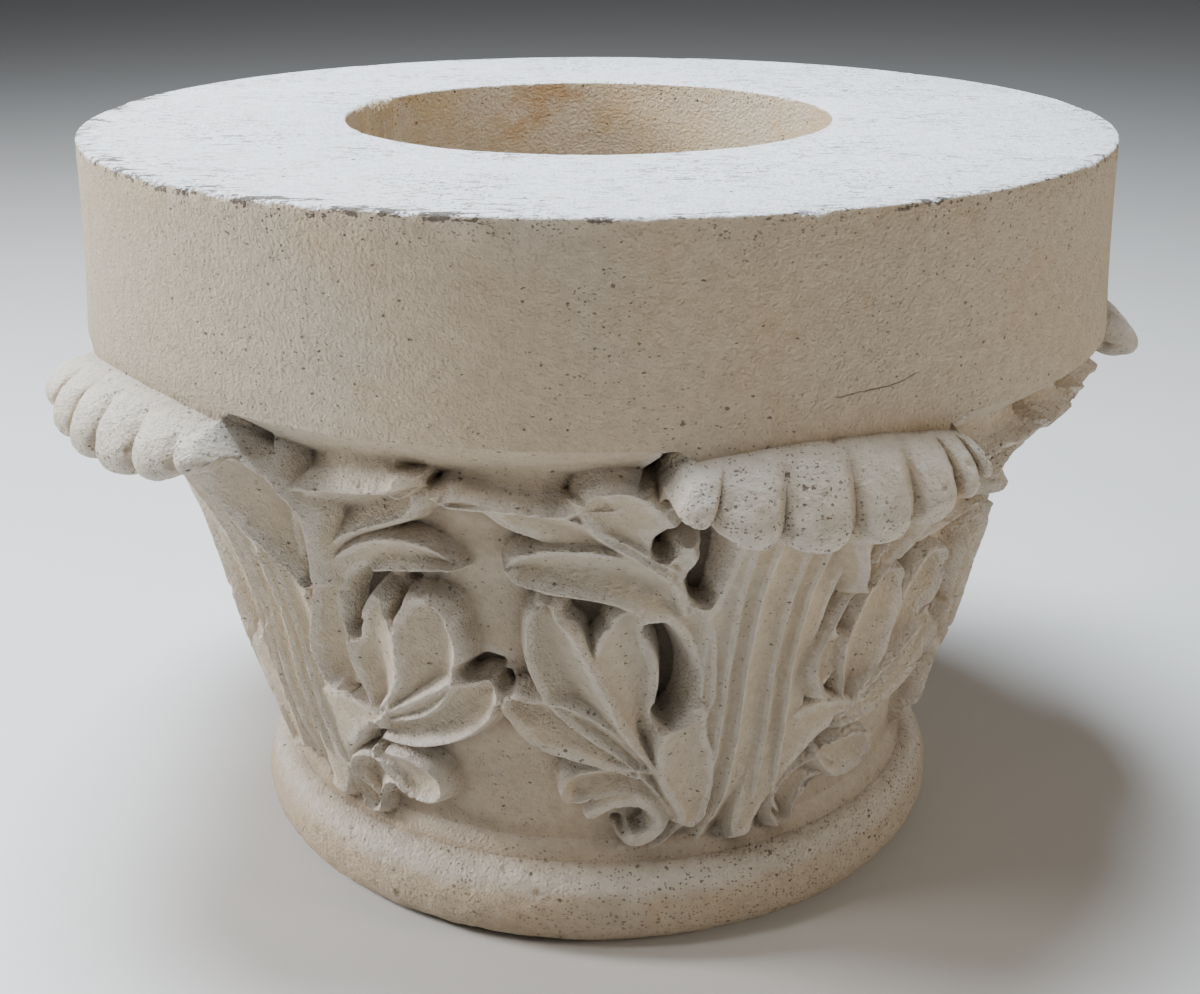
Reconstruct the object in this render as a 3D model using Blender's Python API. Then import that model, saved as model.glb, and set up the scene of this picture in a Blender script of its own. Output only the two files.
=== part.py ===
"""A carved stone capital: a round abacus with a wide bore, a bell with five lobed corner leaves, and a base ring.

The whole capital is one block of stone, so it is one mesh: a profile that is worked out for every direction
round the bore. Between the corners the profile carries the carved leaves, and at the corners it rolls outwards
into the lobed leaf tips. The carving is drawn once, on a flat sheet in millimetres, and wrapped round the bell.
"""

import math

import bpy
import numpy as np

# Driving sizes, in metres.
TOTAL_HEIGHT = 0.440
ABACUS_RADIUS = 0.301
ABACUS_THICKNESS = 0.108
ABACUS_SPREAD = 0.003  # how much wider the abacus is at its lower edge
EDGE_ROUNDING = 0.004
EDGE_BAND = 0.003  # the lowest band of the abacus's side, which meets the soffit and the tips
SOFFIT_RISE = 0.0315  # the sloping underside between the abacus and the bell
BORE_RADIUS = 0.1455
BORE_DEPTH = 0.300
BORE_ROUNDING = 0.002
BORE_CENTRE = (-0.005, 0.010)  # the bore is a little off the middle of the abacus
NECK_RADIUS = 0.1935
BELL_TOP_RADIUS = 0.262
RING_TUBE_RADIUS = 0.027  # the base ring's rounded edge
RING_AXIS_RADIUS = 0.1915
RING_AXIS_HEIGHT = 0.025
RING_UPPER_TURN = math.radians(70)  # where the rounded edge runs into the bell
FOOT_STEP = 0.004  # the bell's carving begins this far above the base ring

# Corner leaves: how far their tips reach past the abacus, and how they are set round the bell.
CORNERS = 5
FIRST_CORNER = math.radians(21.5)  # from straight ahead, towards +X
TIP_REACH = 0.030
TIP_HEIGHT = 0.050
TIP_ARCH = 0.006  # how much lower the tips' ends meet the abacus than their middle
TIP_HALF_ANGLE = 16.5  # degrees
TIP_FAN = 0.84  # the tips are narrower at the top
LOBE_GROOVE = 0.012
# The section of a tip from the abacus's edge outwards, down, under and back to the stem, as shares of its reach
# and height.
TIP_SECTION = ((0.0, 0.0), (0.22, 0.03), (0.5, 0.13), (0.76, 0.31), (0.94, 0.55), (1.0, 0.76), (0.9, 0.93),
               (0.66, 1.0), (0.36, 0.97), (0.12, 0.86))
TIP_JOIN = 0.1  # the share of the tip's rows that join its underside to the stem
SIDE_PIT = 0.013  # depth of the hollows beside each tip, under the abacus
SIDE_PIT_FOOT = 0.3  # the share of the soffit below them
SIDE_PIT_PLACE = 1.2  # degrees from the tip's end
SIDE_PIT_HALF_WIDTH = 1.0
# Where the grooves between the lobes of each tip lie, in degrees from the tip's middle.
EVEN_LOBES = (-15.4, -10.2, -5.1, 0.0, 5.1, 10.2, 15.4)
TIP_GROOVES = (
    (-15.7, -12.1, -6.2, 0.5, 6.5, 11.4, 14.0, 15.7),
    (-12.5, -7.3, -2.0, 3.2, 8.4, 13.6, 18.6),
    EVEN_LOBES,
    EVEN_LOBES,
    (-20.0, -13.5, -7.3, -1.5, 5.4, 11.5, 15.2),
)
TIP_HAND = ((1.0, 1.0), (1.05, 0.85), (0.95, 1.0), (1.0, 1.05), (1.17, 0.85))  # reach and height of each tip
END_LOBE_GROOVE = 0.016  # how far the outermost lobes fall away at the tip's ends

# The sheet that the carving is drawn on, in millimetres: x from one corner to the next, y up the bell.
SHEET_HALF_WIDTH = 141.0
SHEET_FOOT = 56.0
SHEET_TOP = 302.0
SHEET_STEP = 0.75
SOFTENING = 0.52  # how far the carving's edges are worn round
FOOT_FADE = 6.0  # the height over which the carving runs out on to the base ring
LEAF_DEPTH = 1.2  # the height of every leaf's edge, as a share of the heights given with it
WALL_FLARE = 0.28  # how far a leaf's wall spreads from its edge to the ground, as a share of its height
WALL_FULLNESS = 0.7  # how full the wall is: 1 is a straight slope, and less than 1 swells out
POCKET_SLOPE = 4.5
PATH_SAMPLES = 40
PATH_MARGIN = 12.0  # how far beyond its edge a leaf or pocket can still change the sheet

# How finely the block is laid out before it is thinned to its facets.
COLUMNS_PER_FACE = 112
PLAIN_STEP = 7  # carved columns to one plain column
RING_ROWS = 9
BELL_ROWS = 96
TIP_ROWS = 30
FACETS = 9900

STONE = (0.62, 0.56, 0.48, 1.0)


def leaf(path, left, middle, right, valley=0.0, bend=1.6):
    """A leaf on the sheet. path holds its stations (x, y, half width) from root to tip. left, middle and right
    are its heights across, each as (at the root, at the tip), looking along the path."""
    return {"path": path, "heights": (left, middle, right), "valley": valley, "bend": bend}


# The half of a face beside the corner on its left.
LEFT_LEAVES = (
    # The stalk that the scroll and its leaves spring from.
    leaf([(-134, 66, 8), (-128, 90, 12), (-119, 113, 16), (-108, 128, 17), (-95, 135, 13), (-78, 136, 7)],
         (10, 15), (13, 16), (10, 14)),
    # The scroll that hooks over the inner leaves, from its lower end to its pointed tip.
    leaf([(-95, 162, 9), (-97, 176, 12), (-93, 196, 9.5), (-86, 218, 8), (-74, 233.5, 7.5), (-60, 246.5, 8),
          (-46, 253.5, 9.5), (-32, 256.5, 8.8), (-21, 255.5, 5.5), (-13, 252.5, 0.8)],
         (20, 12), (9, 12), (9, 20), valley=-0.2),
    # Three inner leaves.
    leaf([(-73, 143, 5), (-71, 156, 9.5), (-70.5, 170, 14.3), (-69.8, 185, 16), (-67.5, 200, 15), (-65.5, 212, 12),
          (-63.5, 218, 8)], (14, 15), (9, 8), (17, 15)),
    leaf([(-64, 145, 5.5), (-49, 157, 11), (-41, 168, 14), (-37, 179, 16.5), (-35.2, 191, 17.2), (-33.6, 204, 16.8),
          (-31.5, 215, 12.5)], (17, 15), (9, 8), (17, 18), valley=-0.35),
    leaf([(-77, 127, 4), (-67, 132, 9), (-53, 138, 13), (-38.5, 145.5, 15), (-25, 154, 15.5), (-13, 165, 14),
          (-5.5, 172, 9)], (16, 18), (9, 9), (15, 18), valley=-0.05),
    # The small curl at the foot: a leaf, and the hollow spoon beside it.
    leaf([(-84, 107, 4), (-73, 102.5, 11), (-62, 99, 15.5), (-53, 97.5, 13.5)], (13, 16), (11, 8), (13, 16)),
    leaf([(-73, 93, 4), (-82, 95, 8), (-92, 93, 11), (-100, 86, 12.5), (-103.5, 76, 11), (-102, 66, 7)],
         (13, 12), (4, 2), (14, 13), valley=-0.1, bend=2.2),
    # The sloping top of the leaf under the abacus.
    leaf([(-70, 303, 8), (-50, 308, 9), (-33, 310, 8), (-27, 311, 6)], (0, 0), (14, 14), (28, 28), bend=1.0),
    # The two leaves under the abacus.
    leaf([(-86, 244, 4), (-72, 269, 11), (-60, 280, 13.5), (-47, 287, 13.5), (-35, 291.5, 12), (-29.5, 294.5, 8.8)],
         (22, 28), (11, 10), (18, 17), valley=-0.1),
    leaf([(-91, 228, 4), (-91, 244, 11), (-92, 262, 19), (-93, 279, 23), (-94, 293, 20)],
         (26, 38), (17, 20), (24, 32), valley=-0.1),
)

# The half of a face beside the corner on its right.
RIGHT_LEAVES = (
    # The stalk, whose crisp left edge runs up into the middle leaf.
    leaf([(111, 86, 8), (108, 102, 13), (103, 122, 16), (100, 139, 14), (103, 155, 9)], (17, 17), (15, 14), (15, 16)),
    # The scroll, from its tucked end over the top to its tip.
    leaf([(97, 152, 4.5), (106, 163, 8), (108, 177, 7.3), (106.5, 190, 7.5), (103, 205, 9), (97, 218, 11),
          (87, 232, 12.5), (74, 243.5, 13.5), (60, 250.5, 14), (45, 254, 14), (33, 255, 13), (24, 255, 9.8)],
         (20, 19), (13, 11), (16, 15), valley=-0.1),
    # Three inner leaves.
    leaf([(80, 133, 4), (77, 148, 8), (74, 163, 14.5), (72, 181, 19), (70, 198, 18.3), (69, 211, 14.5),
          (69, 218, 9)], (14, 14), (7, 7), (13, 14)),
    leaf([(103, 82, 2.5), (100, 90, 3), (92, 104, 3.6), (82, 118.5, 4.2), (72, 131.5, 5.5), (60, 146, 8.5),
          (49, 161, 13), (40, 177, 15.5), (34, 193, 15), (31, 208, 12.5), (28.5, 221, 8), (30, 230, 3)],
         (14, 16), (11, 8), (18, 19), valley=0.1),
    leaf([(76, 119.5, 4), (66, 128.5, 8), (55, 137.5, 12), (43, 145, 15), (31, 151, 16), (20, 157, 13),
          (12, 162.5, 7.5)], (15, 17), (9, 9), (12, 18), valley=-0.35),
    # The small curl at the foot: its band, and the volute that it rolls into.
    leaf([(100, 86, 4), (94, 99, 7), (84, 108.5, 9), (70, 112, 9.5), (56, 111.5, 10.5), (44, 107.5, 11.5),
          (42, 105, 9)], (11, 12), (8, 7), (13, 16), valley=-0.2),
    leaf([(49, 89, 3.5), (59, 96, 4.2), (70, 98.5, 4.6), (80, 97, 5), (89, 91, 5), (92.5, 82, 5), (89.5, 73.5, 5),
          (82, 68.5, 4.5), (74, 68, 4), (69.5, 71.5, 2.5)], (10, 10), (16, 13), (13, 11), valley=-0.2),
    # The sloping top of the long leaf under the abacus.
    leaf([(0, 306, 8), (20, 308, 9.5), (38, 306, 10)], (0, 0), (14, 14), (28, 28), bend=1.0),
    # The flat top of the thick lobe beside it.
    leaf([(54, 304, 7), (66, 307, 9), (78, 304, 7)], (0, 0), (13, 13), (23, 23), bend=1.0),
    # The long leaf under the abacus, and the two lobes beside the corner.
    leaf([(103, 221, 3), (94, 240, 5), (83, 251.5, 6), (71, 260, 7.5), (60, 268.5, 9), (48, 276.5, 10.5), (33, 284, 12.3),
          (20, 289, 11.3), (8, 295, 7), (-1, 298.5, 3.5)], (9, 11), (12, 12), (17, 28)),
    leaf([(102, 236, 4), (90, 256, 8.5), (78.5, 273, 12), (66, 289, 14.5), (60.5, 299, 13)],
         (18, 25), (16, 24), (18, 27), valley=0.45),
    leaf([(97, 226, 2.5), (93, 243, 4.5), (92.5, 256, 8), (93, 266, 9)], (15, 20), (15, 13), (15, 20)),
)

# Pockets drilled behind the leaves: stations as for a leaf, and the height of the floor.
POCKETS = (
    ([(82.5, 212, 1.5), (89.5, 200.5, 2.6), (94.5, 187.5, 4.2), (96, 175, 4.6), (94, 163, 4.2), (90.5, 157, 2.8)], -16),
    ([(81.5, 268, 1.0), (83, 275.5, 1.3), (89, 280, 1.5), (96, 280.5, 1.7), (102.5, 276.5, 2.2), (105, 268, 2.8),
      (105, 257, 4), (102.5, 246, 5.5), (103.5, 236, 4)], -3),
    ([(-84, 192, 1.8), (-80.5, 209, 2.8), (-71.5, 224, 3.4), (-60.5, 234, 2.8)], -8),
    ([(-44.5, 232, 2.4), (-40.5, 233, 2.2)], -5),
    ([(-15, 180.5, 2), (-8, 184.5, 3), (0, 184, 2.2)], -6),
    ([(3.5, 178, 2.2), (5.5, 174, 1.8)], -3),
    ([(-79, 128, 1.6), (-81, 119, 2.4), (-82, 110, 1.5)], 4),
    ([(64, 77, 2), (67.5, 76, 2)], -4),
)

# The body of a corner leaf, from its foot to its top: height on the sheet, how far it stands proud, half width.
STEM_BODY = ((50, 0, 60), (56, 2, 52), (63, 6, 44), (75, 11, 35), (95, 17, 30), (130, 20, 34), (185, 20, 32), (232, 23, 34),
             (262, 28, 34), (290, 35, 36), (310, 39, 40))
STEM_RIDGES = (0.0, 8.6, 19.0, 36.0)  # distances from the corner's middle, in sheet millimetres
RIDGE_SPREAD = ((50, 3.0), (62, 2.3), (75, 1.6), (95, 1.25), (125, 1.1), (170, 1.0), (260, 1.0), (302, 1.25))
FLUTE_DEPTH = 6.5

# Hand-cut differences between the faces: shift across and up, in sheet millimetres, and depth of the relief.
FACE_HAND = ((-3.5, 0.0, 1.0), (1.5, -1.0, 1.0), (-1.5, 1.0, 0.96), (2.0, 0.5, 1.03), (-1.0, -1.0, 0.98))

# The plain bell between the leaves: share of its height, and share of its spread from neck to top.
BELL_CURVE = ((0.0, 0.075), (0.025, 0.015), (0.05, 0.0), (0.1, 0.04), (0.22, 0.15), (0.34, 0.25), (0.52, 0.38), (0.71, 0.56),
              (0.89, 0.82), (1.0, 1.0))


def smooth_path(stations, samples=PATH_SAMPLES):
    """A smooth curve through the stations (Catmull-Rom), in equal steps of its parameter."""
    points = np.array(stations, float)
    ends = np.vstack([2 * points[0] - points[1], points, 2 * points[-1] - points[-2]])
    place = np.linspace(0, len(points) - 1, samples)
    span = np.minimum(place.astype(int), len(points) - 2)
    t = (place - span)[:, None]
    before, start, end, after = (ends[span + k] for k in range(4))
    curve = 0.5 * (2 * start + (end - before) * t + (2 * before - 5 * start + 4 * end - after) * t**2
                   + (3 * start - before - 3 * end + after) * t**3)
    curve[:, 2] = np.maximum(curve[:, 2], 0.5)
    return curve


def nearest_on_path(x, y, curve):
    """For each point: its distance from the curve, which side it is on, its place along the curve from 0 to 1,
    and the curve's half width there."""
    start, step = curve[:-1], np.diff(curve, axis=0)
    along = (x[:, None] - start[:, 0]) * step[:, 0] + (y[:, None] - start[:, 1]) * step[:, 1]
    along = np.clip(along / (step[:, 0] ** 2 + step[:, 1] ** 2 + 1e-9), 0, 1)
    across_x = x[:, None] - start[:, 0] - along * step[:, 0]
    across_y = y[:, None] - start[:, 1] - along * step[:, 1]
    distance = np.hypot(across_x, across_y)
    pick = distance.argmin(axis=1)
    rows = np.arange(len(x))
    along = along[rows, pick]
    side = np.sign(step[pick, 0] * across_y[rows, pick] - step[pick, 1] * across_x[rows, pick])
    width = start[pick, 2] + along * step[pick, 2]
    return distance[rows, pick], np.where(side == 0, 1, side), (pick + along) / len(step), width


def near_path(x, y, curve):
    low, high = curve.min(axis=0), curve.max(axis=0)
    reach = PATH_MARGIN + high[2]
    return (x > low[0] - reach) & (x < high[0] + reach) & (y > low[1] - reach) & (y < high[1] + reach)


def wall_fall(beyond, height):
    """The share of a leaf's height that is left at a distance beyond its edge: a full slope to the ground."""
    spread = WALL_FLARE * np.maximum(height, SHEET_STEP)
    return (1 - np.clip(beyond / spread, 0, 1)) ** WALL_FULLNESS


def raise_leaf(relief, x, y, shape):
    """Adds one leaf to the relief, which keeps the higher of the two at each point."""
    curve = smooth_path(shape["path"])
    near = near_path(x, y, curve)
    distance, side, along, width = nearest_on_path(x[near], y[near], curve)
    left, middle, right = (root + (tip - root) * along for root, tip in shape["heights"])
    across = np.clip(side * distance / width, -1, 1)
    valley = shape["valley"]
    rise = np.where(across > valley, (across - valley) / (1 - valley), (valley - across) / (1 + valley))
    edge = np.where(across > valley, left, right)
    height = middle + (LEAF_DEPTH * edge - middle) * rise ** shape["bend"]
    height *= wall_fall(distance - width, height)
    relief[near] = np.maximum(relief[near], height)


def drill_pocket(relief, x, y, stations, floor):
    curve = smooth_path(stations)
    near = near_path(x, y, curve)
    distance, _, _, width = nearest_on_path(x[near], y[near], curve)
    relief[near] = np.minimum(relief[near], floor + POCKET_SLOPE * np.maximum(distance - width, 0))


def raise_stems(relief, x, y):
    """The fluted bodies of the corner leaves, half of one at each side of the sheet."""
    levels, proud, half_width = np.array(STEM_BODY).T
    spread = np.interp(y, *np.array(RIDGE_SPREAD).T)
    away = SHEET_HALF_WIDTH - np.abs(x)
    flute = np.zeros_like(x)
    for inner, outer in zip(STEM_RIDGES[:-1], STEM_RIDGES[1:]):
        inner = -outer if inner == 0 else inner  # the middle flute crosses the corner
        middle, half = (inner + outer) / 2, (outer - inner) / 2
        place = (away / spread - middle) / half
        flute = np.where(np.abs(place) < 1, -FLUTE_DEPTH * (1 - np.abs(place) ** 2.4), flute)
    width = np.interp(y, levels, half_width)
    height = np.interp(y, levels, proud) + flute
    height *= wall_fall(away - width, height)
    np.maximum(relief, height, out=relief)


def carved_relief(x, y):
    """How far the carving stands out from the plain bell, in sheet millimetres, at points of the sheet."""
    relief = np.zeros_like(x)
    raise_stems(relief, x, y)
    for shape in LEFT_LEAVES + RIGHT_LEAVES:
        raise_leaf(relief, x, y, shape)
    for stations, floor in POCKETS:
        drill_pocket(relief, x, y, stations, floor)
    return relief * np.clip((y - SHEET_FOOT) / FOOT_FADE, 0, 1) ** 0.7


def soften(grid):
    """Wears the edges of a drawn sheet round, with a bell-shaped weight over a few steps each way."""
    reach = math.ceil(3 * SOFTENING / SHEET_STEP)
    weight = np.exp(-0.5 * (np.arange(-reach, reach + 1) * SHEET_STEP / SOFTENING) ** 2)
    weight /= weight.sum()
    for axis in (0, 1):
        padded = np.pad(grid, [(reach, reach) if k == axis else (0, 0) for k in (0, 1)], mode="edge")
        span = grid.shape[axis]
        grid = sum(w * padded.take(range(k, k + span), axis=axis) for k, w in enumerate(weight))
    return grid


def draw_sheet():
    """The carving of one face, drawn on the whole sheet up to the abacus."""
    across = np.arange(-SHEET_HALF_WIDTH, SHEET_HALF_WIDTH + SHEET_STEP, SHEET_STEP)
    upwards = np.arange(SHEET_FOOT, SHEET_TOP + SOFFIT_RISE * 1000 + SHEET_STEP, SHEET_STEP)
    x, y = np.meshgrid(across, upwards)
    return soften(carved_relief(x.ravel(), y.ravel()).reshape(x.shape))


def read_sheet(sheet, x, y):
    """The drawn sheet's height at any point, between its steps."""
    column = np.clip((x + SHEET_HALF_WIDTH) / SHEET_STEP, 0, sheet.shape[1] - 1.001)
    row = np.clip((y - SHEET_FOOT) / SHEET_STEP, 0, sheet.shape[0] - 1.001)
    left, low = column.astype(int), row.astype(int)
    right, high = column - left, row - low
    lower = sheet[low, left] * (1 - right) + sheet[low, left + 1] * right
    upper = sheet[low + 1, left] * (1 - right) + sheet[low + 1, left + 1] * right
    return lower * (1 - high) + upper * high


def bell_heights():
    """The heights of the bell's foot and top, where the sheet begins and ends."""
    foot = RING_AXIS_HEIGHT + RING_TUBE_RADIUS + FOOT_STEP
    top = TOTAL_HEIGHT - ABACUS_THICKNESS - SOFFIT_RISE
    return foot, top


def plain_bell_radius(height):
    """The radius of the block without its carving: the bell, then the soffit's slope out to the abacus."""
    foot, top = bell_heights()
    share, spread = np.array(BELL_CURVE).T
    bell = NECK_RADIUS + (BELL_TOP_RADIUS - NECK_RADIUS) * np.interp((height - foot) / (top - foot), share, spread)
    slope = (ABACUS_RADIUS + ABACUS_SPREAD - BELL_TOP_RADIUS) / SOFFIT_RISE
    return bell + slope * np.maximum(height - top, 0)


def turn_from_corner(angle):
    """For each direction: the nearest corner, and the turn from it in degrees."""
    pitch = 2 * math.pi / CORNERS
    steps = (angle - FIRST_CORNER) / pitch
    corner = np.round(steps)
    return corner.astype(int) % CORNERS, np.degrees((steps - corner) * pitch)


def sheet_place(angle):
    """For each direction: the face it is on, and where it meets the sheet."""
    pitch = 2 * math.pi / CORNERS
    steps = (angle - FIRST_CORNER) / pitch + 1  # face 0 lies before the first corner
    face = np.floor(steps)
    return face.astype(int) % CORNERS, (2 * (steps - face) - 1) * SHEET_HALF_WIDTH


def carved_radius(sheet, angle, height):
    """The radius of the carved bell and soffit, for each direction and height."""
    foot, top = bell_heights()
    face, x = sheet_place(angle)
    scale = (top - foot) / (SHEET_TOP - SHEET_FOOT)
    y = SHEET_FOOT + (height - foot) / scale
    shift_x, shift_y, depth = np.array(FACE_HAND)[face].T
    # The shifts fade out at the corners, so that the faces meet.
    fade = 1 - (x / SHEET_HALF_WIDTH) ** 4
    relief = read_sheet(sheet, x + shift_x * fade, y + shift_y * fade) * (1 + (depth - 1) * fade)
    # The carving runs out before it reaches the abacus.
    rising = np.clip((height - top) / SOFFIT_RISE, 0, 1)
    return plain_bell_radius(height) + relief * scale * (1 - rising**1.5)


def fanned_angle(angle, share):
    """The directions of a soffit row: the tips' columns draw together towards the abacus."""
    _, turn = turn_from_corner(angle)
    drawn = (1 - TIP_FAN) * min(max((share - 0.35) / 0.65, 0), 1)
    beside = np.clip((2 * TIP_HALF_ANGLE - np.abs(turn)) / TIP_HALF_ANGLE, 0, 1)
    return angle - np.radians(turn) * drawn * beside


def tip_shape(angle):
    """For each direction: how fully the leaf tip stands there, from 0 to 1, how deep its grooves are cut, the
    place across the tip from -1 to 1, how deep the hollow beside it is, and the tip's own reach and height."""
    corner, turn = turn_from_corner(angle)
    standing, cut, across, beside = (np.zeros_like(angle) for _ in range(4))
    for k, grooves in enumerate(TIP_GROOVES):
        middle, half = (grooves[0] + grooves[-1]) / 2, (grooves[-1] - grooves[0]) / 2
        own = corner == k
        from_middle = turn[own] - middle
        across[own] = np.clip(from_middle / half, -1, 1)
        from_pit = np.abs(np.abs(from_middle) - half - SIDE_PIT_PLACE) / SIDE_PIT_HALF_WIDTH
        beside[own] = np.clip(2 - 2 * from_pit, 0, 1)
        for number, (start, end) in enumerate(zip(grooves[:-1], grooves[1:])):
            here = own & (turn >= start) & (turn < end)
            place = (2 * turn[here] - start - end) / (end - start)
            outer = (number == 0) & (place < 0) | (number == len(grooves) - 2) & (place > 0)
            groove = np.where(outer, END_LOBE_GROOVE, LOBE_GROOVE)
            cut[here] = groove * (1 - np.sqrt(1 - 0.96 * np.abs(place) ** 2.2))
            standing[here] = np.where(outer, np.sqrt(1 - place**8), 1.0)
    reach, height = np.array(TIP_HAND)[corner].T
    return standing, cut, across, beside, reach, height


def soffit_row(sheet, angle, share):
    """A row between the bell's top and the abacus's lower edge: the soffit's slope, or a lobed leaf tip."""
    standing, cut, across, beside, reach, hang = tip_shape(angle)
    turned = fanned_angle(angle, share)
    _, top = bell_heights()
    slope_height = top + SOFFIT_RISE * share + 0 * angle
    slope_radius = carved_radius(sheet, turned, slope_height)
    up_pit = max(share - SIDE_PIT_FOOT, 0) / (1 - SIDE_PIT_FOOT)
    slope_radius = slope_radius - SIDE_PIT * beside * math.sin(math.pi * up_pit) ** 0.5
    # The tip follows its section. It hangs less and reaches less towards its ends, and its grooves are cut in.
    section = smooth_path([(out, down, 1) for out, down in reversed(TIP_SECTION)], 200)
    place = max((share - TIP_JOIN) / (1 - TIP_JOIN), 0)
    out, down = (np.interp(place, np.linspace(0, 1, len(section)), section[:, k]) for k in (0, 1))
    cut = cut * min(5 * (1 - share), 1)
    reach = reach * TIP_REACH * (1 - 0.2 * across**4) - cut
    hang = hang * TIP_HEIGHT * (1 - 0.62 * np.abs(across) ** 2.4) - 0.7 * cut
    edge_radius = ABACUS_RADIUS + ABACUS_SPREAD
    tip_radius = edge_radius + (reach + ABACUS_RADIUS - edge_radius) * out
    tip_height = TOTAL_HEIGHT - ABACUS_THICKNESS - TIP_ARCH * across**2 - hang * down
    # Below the section the tip's underside runs back into the stem.
    into = min(share / TIP_JOIN, 1)
    stem_radius = carved_radius(sheet, turned, top + 0 * angle)
    tip_radius = stem_radius + (tip_radius - stem_radius) * into
    tip_height = top + (tip_height - top) * into
    radius = slope_radius + (tip_radius - slope_radius) * standing
    height = slope_height + (tip_height - slope_height) * standing
    return ring_points(turned, radius, height)


def ring_points(angle, radius, height, centre=(0.0, 0.0)):
    """A row of points round the block."""
    return np.stack([centre[0] + radius * np.sin(angle), centre[1] - radius * np.cos(angle), height + 0 * angle], axis=-1)


def foot_rows(angle):
    """The base ring: flat below, then its rounded edge up to the neck."""
    contact = math.asin(-RING_AXIS_HEIGHT / RING_TUBE_RADIUS)
    for turn in np.linspace(contact, RING_UPPER_TURN, RING_ROWS):
        yield ring_points(angle, RING_AXIS_RADIUS + RING_TUBE_RADIUS * math.cos(turn),
                          RING_AXIS_HEIGHT + RING_TUBE_RADIUS * math.sin(turn))


def carved_rows(angle):
    """The bell with its leaves, and the soffit with the corner leaves' tips."""
    sheet = draw_sheet()
    foot, top = bell_heights()
    for height in np.linspace(foot, top, BELL_ROWS):
        yield ring_points(angle, carved_radius(sheet, angle, height + 0 * angle), height)
    for share in np.linspace(0, 1, TIP_ROWS)[1:]:
        yield soffit_row(sheet, angle, share)


def abacus_rows(angle):
    """The abacus and its bore: the side, the rounded upper edge, the top, and the bore down to its floor."""
    upper = TOTAL_HEIGHT - EDGE_ROUNDING
    lower = TOTAL_HEIGHT - ABACUS_THICKNESS + EDGE_BAND
    yield ring_points(angle, ABACUS_RADIUS + ABACUS_SPREAD, lower)
    for turn in np.radians((0, 45, 90)):
        yield ring_points(angle, ABACUS_RADIUS - EDGE_ROUNDING * (1 - math.cos(turn)),
                          upper + EDGE_ROUNDING * math.sin(turn))
    for radius, height in ((BORE_RADIUS + BORE_ROUNDING, TOTAL_HEIGHT), (BORE_RADIUS, TOTAL_HEIGHT - BORE_ROUNDING),
                           (BORE_RADIUS, TOTAL_HEIGHT - BORE_DEPTH)):
        yield ring_points(angle, radius, height, BORE_CENTRE)


def join_rows(faces, first, second):
    """Closes the band between two rows, of which one may have several points for each of the other's."""
    count = min(len(first), len(second))
    first_step, second_step = len(first) // count, len(second) // count
    for k in range(count):
        lower = [first[(k * first_step + j) % len(first)] for j in range(first_step + 1)]
        upper = [second[(k * second_step + j) % len(second)] for j in range(second_step + 1)]
        if first_step == second_step:
            faces.append((lower[0], lower[1], upper[1], upper[0]))
            continue
        # The side with one edge meets the middle of the other, in a fan to each side of it.
        middle = max(first_step, second_step) // 2
        if first_step > second_step:
            faces.extend((lower[j], lower[j + 1], upper[0 if j < middle else 1]) for j in range(first_step))
            faces.append((lower[middle], upper[1], upper[0]))
        else:
            faces.extend((upper[j + 1], upper[j], lower[0 if j < middle else 1]) for j in range(second_step))
            faces.append((upper[middle], lower[0], lower[1]))


def block_mesh(name):
    """The closed block. Its carved rows have more points than its plain ones, and come first."""
    fine = np.arange(CORNERS * COLUMNS_PER_FACE) * 2 * math.pi / (CORNERS * COLUMNS_PER_FACE)
    coarse = fine[::PLAIN_STEP]
    carved = list(carved_rows(fine))
    foot, abacus = list(foot_rows(coarse)), list(abacus_rows(coarse))
    points, rows = [], []
    for row in carved + foot + abacus:
        rows.append(list(range(len(points), len(points) + len(row))))
        points.extend(row.tolist())
    order = rows[len(carved):len(carved) + len(foot)] + rows[:len(carved)] + rows[len(carved) + len(foot):]
    faces = []
    for first, second in zip(order[:-1], order[1:]):
        join_rows(faces, first, second)
    faces += [tuple(reversed(order[0])), tuple(order[-1])]
    mesh = bpy.data.meshes.new(name)
    mesh.from_pydata(points, [], faces)
    mesh.validate()
    return mesh, len(carved) * len(fine)


def thin_to_facets(block, carved_points, facets):
    """Thins the fine layout of the carving to facets, which stay smallest where it is busiest."""
    carved = block.vertex_groups.new(name="carved")
    carved.add(list(range(carved_points)), 1.0, "REPLACE")
    thin = block.modifiers.new("Thin", "DECIMATE")
    thin.vertex_group = carved.name
    thin.ratio = facets / sum(len(face.vertices) - 2 for face in block.data.polygons)
    bpy.context.view_layer.objects.active = block
    bpy.ops.object.modifier_apply(modifier=thin.name)


def stone_material():
    material = bpy.data.materials.new("limestone")
    material.use_nodes = True
    shader = material.node_tree.nodes["Principled BSDF"]
    shader.inputs["Base Color"].default_value = STONE
    shader.inputs["Roughness"].default_value = 0.85
    shader.inputs["Metallic"].default_value = 0.0
    return material


def main():
    for obj in list(bpy.data.objects):
        bpy.data.objects.remove(obj)
    mesh, carved_points = block_mesh("capital")
    capital = bpy.data.objects.new("capital", mesh)
    bpy.context.scene.collection.objects.link(capital)
    mesh.materials.append(stone_material())
    thin_to_facets(capital, carved_points, FACETS)
    capital.data.shade_smooth()
    capital.data.set_sharp_from_angle(angle=math.radians(35))


main()
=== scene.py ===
"""The carved stone capital as it looks: the block with its relief, worn edges and pores, on a pale floor.

The block is one closed surface, as the frame's own solid is. It is worked out row by row up its profile and
for every direction round its bore, and wrapped from a plain grid. Its height is read from the frame.
"""

import math

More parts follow.
